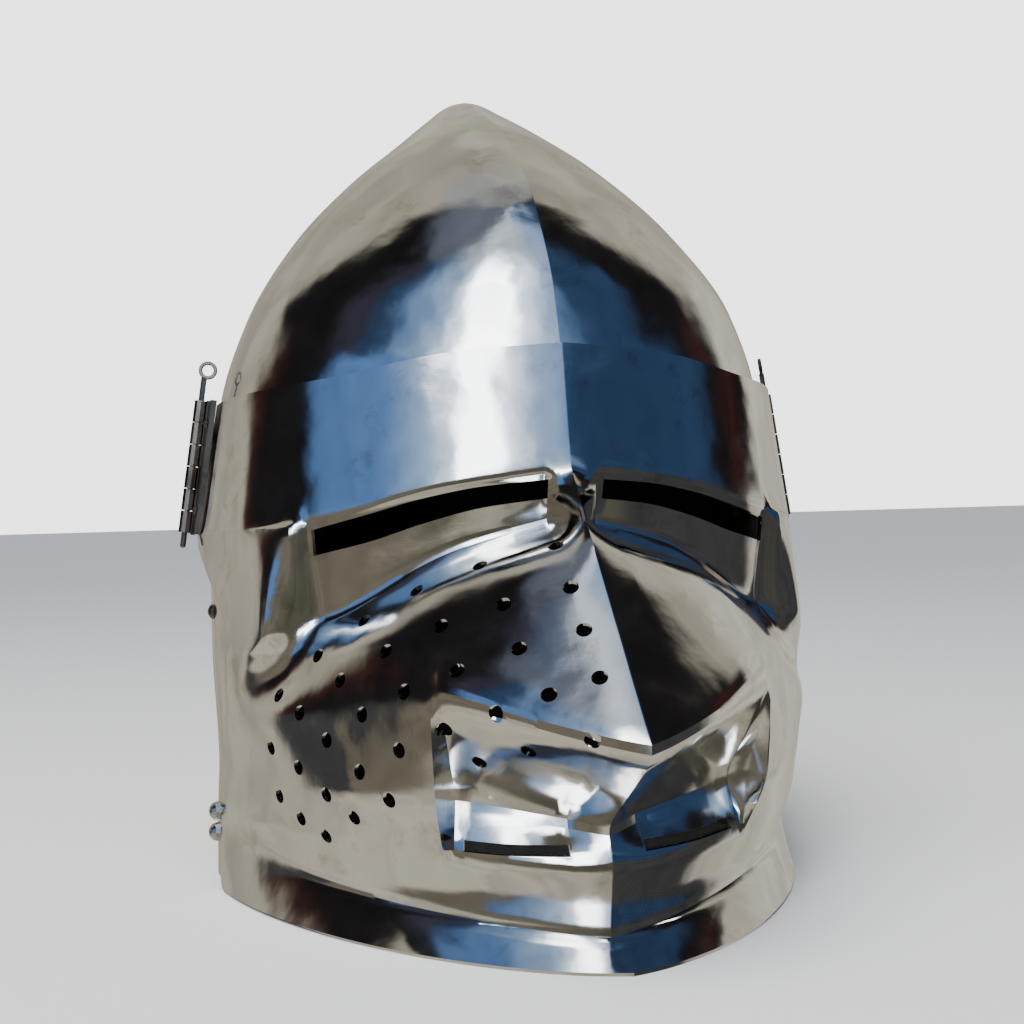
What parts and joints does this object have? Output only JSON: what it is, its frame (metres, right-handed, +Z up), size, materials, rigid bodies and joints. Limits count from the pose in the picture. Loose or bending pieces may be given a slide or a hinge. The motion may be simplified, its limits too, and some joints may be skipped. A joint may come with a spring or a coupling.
{
  "type": "visored bascinet helmet",
  "caption": "Pointed steel helmet with a blunt snouted visor on side pivots; the visor lifts and comes off when its hinge pins are drawn, and the helmet stands on its open rim",
  "frame": {"origin": "centre of the bounding box's bottom face, in the plane the rim stands on", "axes": "+X the wearer's left, -Y the way the face looks, +Z up to the point"},
  "size_m": [0.2722, 0.3451, 0.342],
  "materials": {
    "polished_steel": "hand-polished nearly to a mirror, faint scratches and hammer waviness",
    "dark_steel": "dark forged steel, satin",
    "rivet_steel": "bright worn steel"
  },
  "bodies": {
    "helmet": {"skull": "polished_steel", "temple_pivot_right": "dark_steel", "temple_pivot_left": "dark_steel", "lining_rivet_1": "dark_steel", "lining_rivet_2": "dark_steel", "lining_rivet_3": "dark_steel", "lining_rivet_4": "dark_steel", "lining_rivet_5": "dark_steel", "cheek_stud_right_1": "rivet_steel", "cheek_stud_right_2": "rivet_steel", "cheek_stud_left_1": "rivet_steel", "cheek_stud_left_2": "rivet_steel"},
    "visor_set": {"visor": "polished_steel", "hinge_front_right": "dark_steel", "hinge_front_left": "dark_steel", "hinge_rear_right": "dark_steel", "hinge_rear_left": "dark_steel", "leaf_rivet_right_1": "dark_steel", "leaf_rivet_right_2": "dark_steel", "leaf_rivet_left_1": "dark_steel", "leaf_rivet_left_2": "dark_steel"},
    "pin_right": {"hinge_pin_right": "dark_steel"},
    "pin_left": {"hinge_pin_left": "dark_steel"}
  },
  "joints": [
    {"name": "visor_lift", "type": "hinge", "parent": "helmet", "child": "visor_set", "pos_m": [0, 0.065, 0.19], "axis": [-1, 0, 0], "range_deg": [0, 65]},
    {"name": "pin_right_pull", "type": "slide", "parent": "visor_set", "child": "pin_right", "axis": [0.1503, 0, 0.9886], "range_m": [0, 0.075]},
    {"name": "pin_left_pull", "type": "slide", "parent": "visor_set", "child": "pin_left", "axis": [-0.1503, 0, 0.9886], "range_m": [0, 0.075]}
  ]
}
